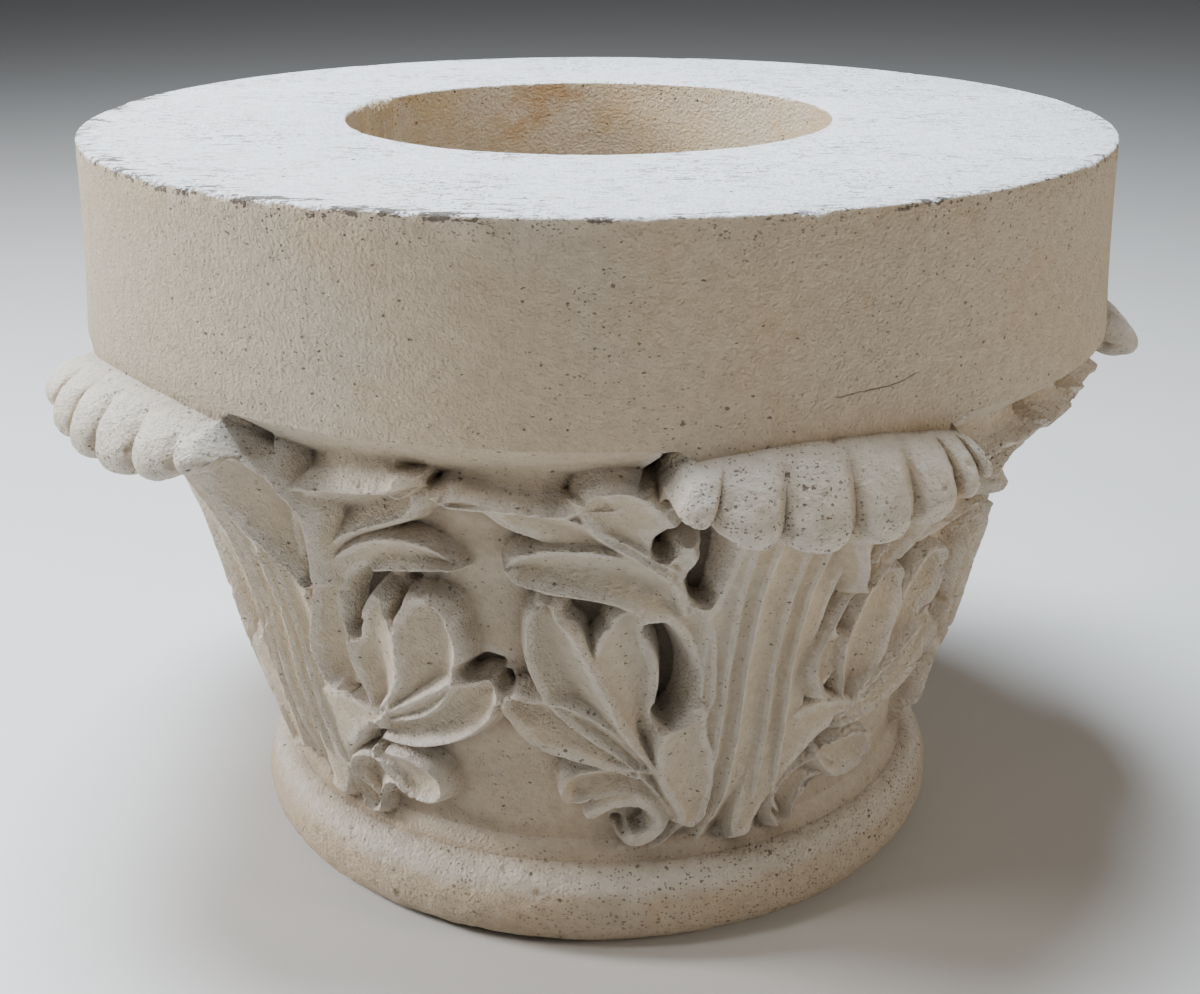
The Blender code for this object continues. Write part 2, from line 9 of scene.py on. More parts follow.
import bpy
import numpy as np
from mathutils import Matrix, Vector


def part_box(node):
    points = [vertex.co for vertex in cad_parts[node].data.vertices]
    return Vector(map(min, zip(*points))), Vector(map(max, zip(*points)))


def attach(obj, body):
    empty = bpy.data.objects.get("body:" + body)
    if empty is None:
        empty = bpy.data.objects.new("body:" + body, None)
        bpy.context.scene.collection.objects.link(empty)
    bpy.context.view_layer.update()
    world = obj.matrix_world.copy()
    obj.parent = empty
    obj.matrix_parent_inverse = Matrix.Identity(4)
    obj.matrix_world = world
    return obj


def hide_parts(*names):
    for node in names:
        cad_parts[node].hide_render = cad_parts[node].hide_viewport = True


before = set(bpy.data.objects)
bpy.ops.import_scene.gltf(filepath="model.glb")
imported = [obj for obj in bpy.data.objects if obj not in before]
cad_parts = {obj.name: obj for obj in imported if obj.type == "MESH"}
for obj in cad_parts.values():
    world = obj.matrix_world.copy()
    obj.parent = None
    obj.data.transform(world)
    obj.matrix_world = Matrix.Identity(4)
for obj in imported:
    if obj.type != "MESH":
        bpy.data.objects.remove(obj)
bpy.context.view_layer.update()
TOTAL_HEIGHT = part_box("capital")[1][2]

# Sizes, in metres.
ABACUS_RADIUS = 0.301
ABACUS_THICKNESS = 0.108
ABACUS_SPREAD = 0.003  # how much wider the abacus is at its lower edge
EDGE_BAND = 0.003  # the lowest band of the abacus's side, which meets the soffit and the tips
SOFFIT_RISE = 0.0315  # the sloping underside between the abacus and the bell
BORE_RADIUS = 0.1455
BORE_DEPTH = 0.300
BORE_CENTRE = (-0.005, 0.010)  # the bore is a little off the middle of the abacus
NECK_RADIUS = 0.1935
BELL_TOP_RADIUS = 0.262
RING_TUBE_RADIUS = 0.027  # the base ring's rounded edge
RING_AXIS_RADIUS = 0.1915
RING_AXIS_HEIGHT = 0.025
RING_UPPER_TURN = math.radians(70)  # where the rounded edge runs into the bell
FOOT_STEP = 0.004  # the bell's carving begins this far above the base ring

# Corner leaves: how far their tips reach past the abacus, and how they are set round the bell.
CORNERS = 5
FIRST_CORNER = math.radians(21.5)  # from straight ahead, towards +X
TIP_REACH = 0.030
TIP_HEIGHT = 0.050
TIP_ARCH = 0.006  # how much lower the tips' ends meet the abacus than their middle
TIP_HALF_ANGLE = 16.5  # degrees
TIP_FAN = 0.84  # the tips are narrower at the top
LOBE_GROOVE = 0.012
# The section of a tip from the abacus's edge outwards, down, under and back to the stem, as shares of its
# reach and height.
TIP_SECTION = ((0.0, 0.0), (0.22, 0.03), (0.5, 0.13), (0.76, 0.31), (0.94, 0.55), (1.0, 0.76), (0.9, 0.93),
               (0.66, 1.0), (0.36, 0.97), (0.12, 0.86))
TIP_JOIN = 0.1  # the share of the tip's rows that join its underside to the stem
SIDE_PIT = 0.013  # depth of the hollows beside each tip, under the abacus
SIDE_PIT_FOOT = 0.3  # the share of the soffit below them
SIDE_PIT_PLACE = 1.2  # degrees from the tip's end
SIDE_PIT_HALF_WIDTH = 1.0
# Where the grooves between the lobes of each tip lie, in degrees from the tip's middle.
EVEN_LOBES = (-15.4, -10.2, -5.1, 0.0, 5.1, 10.2, 15.4)
TIP_GROOVES = (
    (-15.7, -12.1, -6.2, 0.5, 6.5, 11.4, 14.0, 15.7),
    (-12.5, -7.3, -2.0, 3.2, 8.4, 13.6, 18.6),
    EVEN_LOBES,
    EVEN_LOBES,
    (-20.0, -13.5, -7.3, -1.5, 5.4, 11.5, 15.2),
)
# The reach and height of each tip, as shares of the common ones.
TIP_HAND = ((1.0, 1.0), (1.05, 0.85), (0.95, 1.0), (1.0, 1.05), (1.17, 0.85))
END_LOBE_GROOVE = 0.016  # how far the outermost lobes fall away at the tip's ends

# The sheet that the carving is drawn on, in millimetres: x from one corner to the next, y up the bell.
SHEET_HALF_WIDTH = 141.0
SHEET_FOOT = 56.0
SHEET_TOP = 302.0
SHEET_STEP = 0.75
SOFTENING = 0.52  # how far the carving's edges are worn round
FOOT_FADE = 6.0  # the height over which the carving runs out on to the base ring
LEAF_DEPTH = 1.2  # the height of every leaf's edge, as a share of the heights given with it
WALL_FLARE = 0.28  # how far a leaf's wall spreads from its edge to the ground, as a share of its height
WALL_FULLNESS = 0.7  # how full the wall is: 1 is a straight slope, and less than 1 swells out
POCKET_SLOPE = 4.5
PATH_SAMPLES = 40
PATH_MARGIN = 12.0  # how far beyond its edge a leaf or pocket can still change the sheet

# How finely the block is laid out before it is thinned.
COLUMNS = 1500
RING_ROWS = 34
BELL_ROWS = 230
TIP_ROWS = 84
SIDE_ROWS = 12
TOP_ROWS = 8
BORE_ROWS = 6
TRIANGLES = 196000
SMOOTH_TURN = math.radians(32)  # faces that meet at less than this are shaded as one

# How the hollows and ridges of the carving are found: over how many rows and columns to each side, and how
# many of the base ring's highest rows gather dust and painted shade with the carving.
FINE_REACH = 3
BROAD_REACH = 12
DUSTY_SHADED_RING_ROWS = 12

SHARP_EDGE = 0.0015  # the rounding of an edge between its chips
CHIPPED_BAND = 0.008  # the highest band of the abacus's side, which the chips reach into
# Bites out of the abacus's upper edge and the bore's: direction and half width in degrees, depth in metres.
RIM_CHIPS = (
    (-62, 4, 0.002), (-54, 1.6, 0.0025), (-50, 1.2, 0.002), (-46, 2.4, 0.0032), (-41, 1.3, 0.002),
    (-36, 2.2, 0.003), (-31, 1.2, 0.0022), (-26, 1.8, 0.002), (-17, 1.0, 0.0014), (4, 0.8, 0.001),
    (19, 1.6, 0.0024), (31, 1.0, 0.0014), (58, 2, 0.002), (97, 3, 0.003), (131, 2, 0.002), (170, 3, 0.003),
    (214, 2, 0.002), (262, 3, 0.003),
)
BORE_CHIPS = ((-114, 6, 0.005), (-103, 4, 0.003), (-60, 2, 0.0015), (35, 3, 0.002), (120, 4, 0.0025))


def leaf(path, left, middle, right, valley=0.0, bend=1.6):
    """A leaf on the sheet. path holds its stations (x, y, half width) from root to tip. left, middle and
    right are its heights across, each as (at the root, at the tip), looking along the path."""
    return {"path": path, "heights": (left, middle, right), "valley": valley, "bend": bend}


# The half of a face beside the corner on its left.
LEFT_LEAVES = (
    # The stalk that the scroll and its leaves spring from.
    leaf([(-134, 66, 8), (-128, 90, 12), (-119, 113, 16), (-108, 128, 17), (-95, 135, 13), (-78, 136, 7)],
         (10, 15), (13, 16), (10, 14)),
    # The scroll that hooks over the inner leaves, from its lower end to its pointed tip.
    leaf([(-95, 162, 9), (-97, 176, 12), (-93, 196, 9.5), (-86, 218, 8), (-74, 233.5, 7.5), (-60, 246.5, 8),
          (-46, 253.5, 9.5), (-32, 256.5, 8.8), (-21, 255.5, 5.5), (-13, 252.5, 0.8)],
         (20, 12), (9, 12), (9, 20), valley=-0.2),
    # Three inner leaves.
    leaf([(-73, 143, 5), (-71, 156, 9.5), (-70.5, 170, 14.3), (-69.8, 185, 16), (-67.5, 200, 15),
          (-65.5, 212, 12), (-63.5, 218, 8)], (14, 15), (9, 8), (17, 15)),
    leaf([(-64, 145, 5.5), (-49, 157, 11), (-41, 168, 14), (-37, 179, 16.5), (-35.2, 191, 17.2),
          (-33.6, 204, 16.8), (-31.5, 215, 12.5)], (17, 15), (9, 8), (17, 18), valley=-0.35),
    leaf([(-77, 127, 4), (-67, 132, 9), (-53, 138, 13), (-38.5, 145.5, 15), (-25, 154, 15.5),
          (-13, 165, 14), (-5.5, 172, 9)], (16, 18), (9, 9), (15, 18), valley=-0.05),
    # The small curl at the foot: a leaf, and the hollow spoon beside it.
    leaf([(-84, 107, 4), (-73, 102.5, 11), (-62, 99, 15.5), (-53, 97.5, 13.5)],
         (13, 16), (11, 8), (13, 16)),
    leaf([(-73, 93, 4), (-82, 95, 8), (-92, 93, 11), (-100, 86, 12.5), (-103.5, 76, 11), (-102, 66, 7)],
         (13, 12), (4, 2), (14, 13), valley=-0.1, bend=2.2),
    # The sloping top of the leaf under the abacus.
    leaf([(-70, 303, 8), (-50, 308, 9), (-33, 310, 8), (-27, 311, 6)],
         (0, 0), (14, 14), (28, 28), bend=1.0),
    # The two leaves under the abacus.
    leaf([(-86, 244, 4), (-72, 269, 11), (-60, 280, 13.5), (-47, 287, 13.5), (-35, 291.5, 12),
          (-29.5, 294.5, 8.8)],
         (22, 28), (11, 10), (18, 17), valley=-0.1),
    leaf([(-91, 228, 4), (-91, 244, 11), (-92, 262, 19), (-93, 279, 23), (-94, 293, 20)],
         (26, 38), (17, 20), (24, 32), valley=-0.1),
)

# The half of a face beside the corner on its right.
RIGHT_LEAVES = (
    # The stalk, whose crisp left edge runs up into the middle leaf.
    leaf([(111, 86, 8), (108, 102, 13), (103, 122, 16), (100, 139, 14), (103, 155, 9)],
         (17, 17), (15, 14), (15, 16)),
    # The scroll, from its tucked end over the top to its tip.
    leaf([(97, 152, 4.5), (106, 163, 8), (108, 177, 7.3), (106.5, 190, 7.5), (103, 205, 9), (97, 218, 11),
          (87, 232, 12.5), (74, 243.5, 13.5), (60, 250.5, 14), (45, 254, 14), (33, 255, 13), (24, 255, 9.8)],
         (20, 19), (13, 11), (16, 15), valley=-0.1),
    # Three inner leaves.
    leaf([(80, 133, 4), (77, 148, 8), (74, 163, 14.5), (72, 181, 19), (70, 198, 18.3), (69, 211, 14.5),
          (69, 218, 9)], (14, 14), (7, 7), (13, 14)),
    leaf([(103, 82, 2.5), (100, 90, 3), (92, 104, 3.6), (82, 118.5, 4.2), (72, 131.5, 5.5), (60, 146, 8.5),
          (49, 161, 13), (40, 177, 15.5), (34, 193, 15), (31, 208, 12.5), (28.5, 221, 8), (30, 230, 3)],
         (14, 16), (11, 8), (18, 19), valley=0.1),
    leaf([(76, 119.5, 4), (66, 128.5, 8), (55, 137.5, 12), (43, 145, 15), (31, 151, 16), (20, 157, 13),
          (12, 162.5, 7.5)], (15, 17), (9, 9), (12, 18), valley=-0.35),
    # The small curl at the foot: its band, and the volute that it rolls into.
    leaf([(100, 86, 4), (94, 99, 7), (84, 108.5, 9), (70, 112, 9.5), (56, 111.5, 10.5), (44, 107.5, 11.5),
          (42, 105, 9)], (11, 12), (8, 7), (13, 16), valley=-0.2),
    leaf([(49, 89, 3.5), (59, 96, 4.2), (70, 98.5, 4.6), (80, 97, 5), (89, 91, 5), (92.5, 82, 5),
          (89.5, 73.5, 5), (82, 68.5, 4.5), (74, 68, 4), (69.5, 71.5, 2.5)],
         (10, 10), (16, 13), (13, 11), valley=-0.2),
    # The sloping top of the long leaf under the abacus.
    leaf([(0, 306, 8), (20, 308, 9.5), (38, 306, 10)], (0, 0), (14, 14), (28, 28), bend=1.0),
    # The flat top of the thick lobe beside it.
    leaf([(54, 304, 7), (66, 307, 9), (78, 304, 7)], (0, 0), (13, 13), (23, 23), bend=1.0),
    # The long leaf under the abacus, and the two lobes beside the corner.
    leaf([(103, 221, 3), (94, 240, 5), (83, 251.5, 6), (71, 260, 7.5), (60, 268.5, 9), (48, 276.5, 10.5),
          (33, 284, 12.3), (20, 289, 11.3), (8, 295, 7), (-1, 298.5, 3.5)], (9, 11), (12, 12), (17, 28)),
    leaf([(102, 236, 4), (90, 256, 8.5), (78.5, 273, 12), (66, 289, 14.5), (60.5, 299, 13)],
         (18, 25), (16, 24), (18, 27), valley=0.45),
    leaf([(97, 226, 2.5), (93, 243, 4.5), (92.5, 256, 8), (93, 266, 9)], (15, 20), (15, 13), (15, 20)),
)

# Pockets drilled behind the leaves: stations as for a leaf, and the height of the floor.
POCKETS = (
    ([(82.5, 212, 1.5), (89.5, 200.5, 2.6), (94.5, 187.5, 4.2), (96, 175, 4.6), (94, 163, 4.2),
      (90.5, 157, 2.8)], -16),
    ([(81.5, 268, 1.0), (83, 275.5, 1.3), (89, 280, 1.5), (96, 280.5, 1.7), (102.5, 276.5, 2.2),
      (105, 268, 2.8), (105, 257, 4), (102.5, 246, 5.5), (103.5, 236, 4)], -3),
    ([(-84, 192, 1.8), (-80.5, 209, 2.8), (-71.5, 224, 3.4), (-60.5, 234, 2.8)], -8),
    ([(-44.5, 232, 2.4), (-40.5, 233, 2.2)], -5),
    ([(-15, 180.5, 2), (-8, 184.5, 3), (0, 184, 2.2)], -6),
    ([(3.5, 178, 2.2), (5.5, 174, 1.8)], -3),
    ([(-79, 128, 1.6), (-81, 119, 2.4), (-82, 110, 1.5)], 4),
    ([(64, 77, 2), (67.5, 76, 2)], -4),
)

# The body of a corner leaf, from its foot to its top: height on the sheet, how far it stands proud, and its
# half width.
STEM_BODY = ((50, 0, 60), (56, 2, 52), (63, 6, 44), (75, 11, 35), (95, 17, 30), (130, 20, 34), (185, 20, 32),
             (232, 23, 34), (262, 28, 34), (290, 35, 36), (310, 39, 40))
STEM_RIDGES = (0.0, 8.6, 19.0, 36.0)  # distances from the corner's middle, in sheet millimetres
# How far the ridges fan out: height on the sheet, and share of those distances.
RIDGE_SPREAD = ((50, 3.0), (62, 2.3), (75, 1.6), (95, 1.25), (125, 1.1), (170, 1.0), (260, 1.0),
                (302, 1.25))
FLUTE_DEPTH = 6.5

# Hand-cut differences between the faces: shift across and up, in sheet millimetres, and depth of relief.
FACE_HAND = ((-3.5, 0.0, 1.0), (1.5, -1.0, 1.0), (-1.5, 1.0, 0.96), (2.0, 0.5, 1.03), (-1.0, -1.0, 0.98))

# The plain bell between the leaves: share of its height, and share of its spread from neck to top.
BELL_CURVE = ((0.0, 0.075), (0.025, 0.015), (0.05, 0.0), (0.1, 0.04), (0.22, 0.15), (0.34, 0.25),
              (0.52, 0.38), (0.71, 0.56), (0.89, 0.82), (1.0, 1.0))


def smooth_path(stations, samples=PATH_SAMPLES):
    """A smooth curve through the stations (Catmull-Rom), in equal steps of its parameter."""
    points = np.array(stations, float)
    ends = np.vstack([2 * points[0] - points[1], points, 2 * points[-1] - points[-2]])
    place = np.linspace(0, len(points) - 1, samples)
    span = np.minimum(place.astype(int), len(points) - 2)
    t = (place - span)[:, None]
    before, start, end, after = (ends[span + k] for k in range(4))
    curve = 0.5 * (2 * start + (end - before) * t + (2 * before - 5 * start + 4 * end - after) * t**2
                   + (3 * start - before - 3 * end + after) * t**3)
    curve[:, 2] = np.maximum(curve[:, 2], 0.5)
    return curve


def nearest_on_path(x, y, curve):
    """For each point: its distance from the curve, which side it is on, its place along the curve from 0 to
    1, and the curve's half width there."""
    start, step = curve[:-1], np.diff(curve, axis=0)
    along = (x[:, None] - start[:, 0]) * step[:, 0] + (y[:, None] - start[:, 1]) * step[:, 1]
    along = np.clip(along / (step[:, 0] ** 2 + step[:, 1] ** 2 + 1e-9), 0, 1)
    across_x = x[:, None] - start[:, 0] - along * step[:, 0]
    across_y = y[:, None] - start[:, 1] - along * step[:, 1]
    distance = np.hypot(across_x, across_y)
    pick = distance.argmin(axis=1)
    rows = np.arange(len(x))
    along = along[rows, pick]
    side = np.sign(step[pick, 0] * across_y[rows, pick] - step[pick, 1] * across_x[rows, pick])
    width = start[pick, 2] + along * step[pick, 2]
    return distance[rows, pick], np.where(side == 0, 1, side), (pick + along) / len(step), width


def near_path(x, y, curve):
    low, high = curve.min(axis=0), curve.max(axis=0)
    reach = PATH_MARGIN + high[2]
    return (x > low[0] - reach) & (x < high[0] + reach) & (y > low[1] - reach) & (y < high[1] + reach)


def wall_fall(beyond, height):
    """The share of a leaf's height that is left at a distance beyond its edge: a full slope to the
    ground."""
    spread = WALL_FLARE * np.maximum(height, SHEET_STEP)
    return (1 - np.clip(beyond / spread, 0, 1)) ** WALL_FULLNESS


def raise_leaf(relief, x, y, shape):
    """Adds one leaf to the relief, which keeps the higher of the two at each point."""
    curve = smooth_path(shape["path"])
    near = near_path(x, y, curve)
    distance, side, along, width = nearest_on_path(x[near], y[near], curve)
    left, middle, right = (root + (tip - root) * along for root, tip in shape["heights"])
    across = np.clip(side * distance / width, -1, 1)
    valley = shape["valley"]
    rise = np.where(across > valley, (across - valley) / (1 - valley), (valley - across) / (1 + valley))
    edge = np.where(across > valley, left, right)
    height = middle + (LEAF_DEPTH * edge - middle) * rise ** shape["bend"]
    height *= wall_fall(distance - width, height)
    relief[near] = np.maximum(relief[near], height)


def drill_pocket(relief, x, y, stations, floor):
    curve = smooth_path(stations)
    near = near_path(x, y, curve)
    distance, _, _, width = nearest_on_path(x[near], y[near], curve)
    relief[near] = np.minimum(relief[near], floor + POCKET_SLOPE * np.maximum(distance - width, 0))


def raise_stems(relief, x, y):
    """The fluted bodies of the corner leaves, half of one at each side of the sheet."""
    levels, proud, half_width = np.array(STEM_BODY).T
    spread = np.interp(y, *np.array(RIDGE_SPREAD).T)
    away = SHEET_HALF_WIDTH - np.abs(x)
    flute = np.zeros_like(x)
    for inner, outer in zip(STEM_RIDGES[:-1], STEM_RIDGES[1:]):
        inner = -outer if inner == 0 else inner  # the middle flute crosses the corner
        middle, half = (inner + outer) / 2, (outer - inner) / 2
        place = (away / spread - middle) / half
        flute = np.where(np.abs(place) < 1, -FLUTE_DEPTH * (1 - np.abs(place) ** 2.4), flute)
    width = np.interp(y, levels, half_width)
    height = np.interp(y, levels, proud) + flute
    height *= wall_fall(away - width, height)
    np.maximum(relief, height, out=relief)


def carved_relief(x, y):
    """How far the carving stands out from the plain bell, in sheet millimetres, at points of the sheet."""
    relief = np.zeros_like(x)
    raise_stems(relief, x, y)
    for shape in LEFT_LEAVES + RIGHT_LEAVES:
        raise_leaf(relief, x, y, shape)
    for stations, floor in POCKETS:
        drill_pocket(relief, x, y, stations, floor)
    return relief * np.clip((y - SHEET_FOOT) / FOOT_FADE, 0, 1) ** 0.7


def soften(grid):
    """Wears the edges of a drawn sheet round, with a bell-shaped weight over a few steps each way."""
    reach = math.ceil(3 * SOFTENING / SHEET_STEP)
    weight = np.exp(-0.5 * (np.arange(-reach, reach + 1) * SHEET_STEP / SOFTENING) ** 2)
    weight /= weight.sum()
    for axis in (0, 1):
        padded = np.pad(grid, [(reach, reach) if k == axis else (0, 0) for k in (0, 1)], mode="edge")
        span = grid.shape[axis]
        grid = sum(w * padded.take(range(k, k + span), axis=axis) for k, w in enumerate(weight))
    return grid


def draw_sheet():
    """The carving of one face, drawn on the whole sheet up to the abacus."""
    across = np.arange(-SHEET_HALF_WIDTH, SHEET_HALF_WIDTH + SHEET_STEP, SHEET_STEP)
    upwards = np.arange(SHEET_FOOT, SHEET_TOP + SOFFIT_RISE * 1000 + SHEET_STEP, SHEET_STEP)
    x, y = np.meshgrid(across, upwards)
    return soften(carved_relief(x.ravel(), y.ravel()).reshape(x.shape))


def read_sheet(sheet, x, y):
    """The drawn sheet's height at any point, between its steps."""
    column = np.clip((x + SHEET_HALF_WIDTH) / SHEET_STEP, 0, sheet.shape[1] - 1.001)
    row = np.clip((y - SHEET_FOOT) / SHEET_STEP, 0, sheet.shape[0] - 1.001)
    left, low = column.astype(int), row.astype(int)
    right, high = column - left, row - low
    lower = sheet[low, left] * (1 - right) + sheet[low, left + 1] * right
    upper = sheet[low + 1, left] * (1 - right) + sheet[low + 1, left + 1] * right
    return lower * (1 - high) + upper * high


def bell_heights():
    """The heights of the bell's foot and top, where the sheet begins and ends."""
    foot = RING_AXIS_HEIGHT + RING_TUBE_RADIUS + FOOT_STEP
    top = TOTAL_HEIGHT - ABACUS_THICKNESS - SOFFIT_RISE
    return foot, top


def plain_bell_radius(height):
    """The radius of the block without its carving: the bell, then the soffit's slope out to the abacus."""
    foot, top = bell_heights()
    share, spread = np.array(BELL_CURVE).T
    widening = np.interp((height - foot) / (top - foot), share, spread)
    bell = NECK_RADIUS + (BELL_TOP_RADIUS - NECK_RADIUS) * widening
    slope = (ABACUS_RADIUS + ABACUS_SPREAD - BELL_TOP_RADIUS) / SOFFIT_RISE
    return bell + slope * np.maximum(height - top, 0)


def turn_from_corner(angle):
    """For each direction: the nearest corner, and the turn from it in degrees."""
    pitch = 2 * math.pi / CORNERS
    steps = (angle - FIRST_CORNER) / pitch
    corner = np.round(steps)
    return corner.astype(int) % CORNERS, np.degrees((steps - corner) * pitch)


def sheet_place(angle):
    """For each direction: the face it is on, and where it meets the sheet."""
    pitch = 2 * math.pi / CORNERS
    steps = (angle - FIRST_CORNER) / pitch + 1  # face 0 lies before the first corner
    face = np.floor(steps)
    return face.astype(int) % CORNERS, (2 * (steps - face) - 1) * SHEET_HALF_WIDTH


def carved_radius(sheet, angle, height):
    """The radius of the carved bell and soffit, for each direction and height."""
    foot, top = bell_heights()
    face, x = sheet_place(angle)
    scale = (top - foot) / (SHEET_TOP - SHEET_FOOT)
    y = SHEET_FOOT + (height - foot) / scale
    shift_x, shift_y, depth = np.array(FACE_HAND)[face].T
    # The shifts fade out at the corners, so that the faces meet.
    fade = 1 - (x / SHEET_HALF_WIDTH) ** 4
    relief = read_sheet(sheet, x + shift_x * fade, y + shift_y * fade) * (1 + (depth - 1) * fade)
    # The carving runs out before it reaches the abacus.
    rising = np.clip((height - top) / SOFFIT_RISE, 0, 1)
    return plain_bell_radius(height) + relief * scale * (1 - rising**1.5)


def fanned_angle(angle, share):
    """The directions of a soffit row: the tips' columns draw together towards the abacus."""
    _, turn = turn_from_corner(angle)
    drawn = (1 - TIP_FAN) * min(max((share - 0.35) / 0.65, 0), 1)
    beside = np.clip((2 * TIP_HALF_ANGLE - np.abs(turn)) / TIP_HALF_ANGLE, 0, 1)
    return angle - np.radians(turn) * drawn * beside


def tip_shape(angle):
    """For each direction: how fully the leaf tip stands there, from 0 to 1, how deep its grooves are cut,
    the place across the tip from -1 to 1, how deep the hollow beside it is, and the tip's own reach and
    height."""
    corner, turn = turn_from_corner(angle)
    standing, cut, across, beside = (np.zeros_like(angle) for _ in range(4))
    for k, grooves in enumerate(TIP_GROOVES):
        middle, half = (grooves[0] + grooves[-1]) / 2, (grooves[-1] - grooves[0]) / 2
        own = corner == k
        from_middle = turn[own] - middle
        across[own] = np.clip(from_middle / half, -1, 1)
        from_pit = np.abs(np.abs(from_middle) - half - SIDE_PIT_PLACE) / SIDE_PIT_HALF_WIDTH
        beside[own] = np.clip(2 - 2 * from_pit, 0, 1)
        for number, (start, end) in enumerate(zip(grooves[:-1], grooves[1:])):
            here = own & (turn >= start) & (turn < end)
            place = (2 * turn[here] - start - end) / (end - start)
            outer = (number == 0) & (place < 0) | (number == len(grooves) - 2) & (place > 0)
            groove = np.where(outer, END_LOBE_GROOVE, LOBE_GROOVE)
            cut[here] = groove * (1 - np.sqrt(1 - 0.96 * np.abs(place) ** 2.2))
            standing[here] = np.where(outer, np.sqrt(1 - place**8), 1.0)
    reach, height = np.array(TIP_HAND)[corner].T
    return standing, cut, across, beside, reach, height


def soffit_row(sheet, angle, share):
    """A row between the bell's top and the abacus's lower edge: the soffit's slope, or a lobed leaf tip."""
    standing, cut, across, beside, reach, hang = tip_shape(angle)
    turned = fanned_angle(angle, share)
    _, top = bell_heights()
    slope_height = top + SOFFIT_RISE * share + 0 * angle
    slope_radius = carved_radius(sheet, turned, slope_height)
    up_pit = max(share - SIDE_PIT_FOOT, 0) / (1 - SIDE_PIT_FOOT)
    slope_radius = slope_radius - SIDE_PIT * beside * math.sin(math.pi * up_pit) ** 0.5
    # The tip follows its section. It hangs and reaches less towards its ends, and its grooves are cut in.
    section = smooth_path([(out, down, 1) for out, down in reversed(TIP_SECTION)], 200)
    place = max((share - TIP_JOIN) / (1 - TIP_JOIN), 0)
    out, down = (np.interp(place, np.linspace(0, 1, len(section)), section[:, k]) for k in (0, 1))
    cut = cut * min(5 * (1 - share), 1)
    reach = reach * TIP_REACH * (1 - 0.2 * across**4) - cut
    hang = hang * TIP_HEIGHT * (1 - 0.62 * np.abs(across) ** 2.4) - 0.7 * cut
    edge_radius = ABACUS_RADIUS + ABACUS_SPREAD
    tip_radius = edge_radius + (reach + ABACUS_RADIUS - edge_radius) * out
    tip_height = TOTAL_HEIGHT - ABACUS_THICKNESS - TIP_ARCH * across**2 - hang * down
    # Below the section the tip's underside runs back into the stem.
    into = min(share / TIP_JOIN, 1)
    stem_radius = carved_radius(sheet, turned, top + 0 * angle)
    tip_radius = stem_radius + (tip_radius - stem_radius) * into
    tip_height = top + (tip_height - top) * into
    radius = slope_radius + (tip_radius - slope_radius) * standing
    height = slope_height + (tip_height - slope_height) * standing
    return ring_points(turned, radius, height)


def ring_points(angle, radius, height, centre=(0.0, 0.0)):
    """A row of points round the block."""
    return np.stack([centre[0] + radius * np.sin(angle), centre[1] - radius * np.cos(angle),
                     height + 0 * angle], axis=-1)


def edge_wear(angle, chips):
    """How far an edge is worn away in each direction: a fine waver all round, and the chips."""
    wear = 0.0002 * (1 + np.sin(23 * angle + 2 * np.sin(7 * angle))) * (1 + np.sin(11 * angle + 1))
    for middle, half_width, depth in chips:
        away = np.degrees((angle - math.radians(middle) + math.pi) % (2 * math.pi) - math.pi) / half_width
        rough = 1 + 0.3 * np.sin(3.1 * away * half_width) + 0.35 * np.sin(9.3 * away * half_width)
        wear = np.maximum(wear, depth * rough * np.sqrt(np.clip(1 - away**2, 0, 1)))
    return wear


def foot_rows(angle):
    """The underside's flat, and the base ring's rounded edge up to the neck."""
    contact = math.asin(-RING_AXIS_HEIGHT / RING_TUBE_RADIUS)
    rows = [ring_points(angle, 0 * angle, 0.0)]
    for turn in np.linspace(contact, RING_UPPER_TURN, RING_ROWS):
        rows.append(ring_points(angle, RING_AXIS_RADIUS + RING_TUBE_RADIUS * math.cos(turn),
                                RING_AXIS_HEIGHT + RING_TUBE_RADIUS * math.sin(turn)))
    return rows


def carved_rows(angle):
    """The bell with its leaves, and the soffit with the corner leaves' tips."""
    sheet = draw_sheet()
    foot, top = bell_heights()
    bell = [ring_points(angle, carved_radius(sheet, angle, height + 0 * angle), height)
            for height in np.linspace(foot, top, BELL_ROWS)]
    soffit = [soffit_row(sheet, angle, share) for share in np.linspace(0, 1, TIP_ROWS)[1:]]
    return bell, soffit


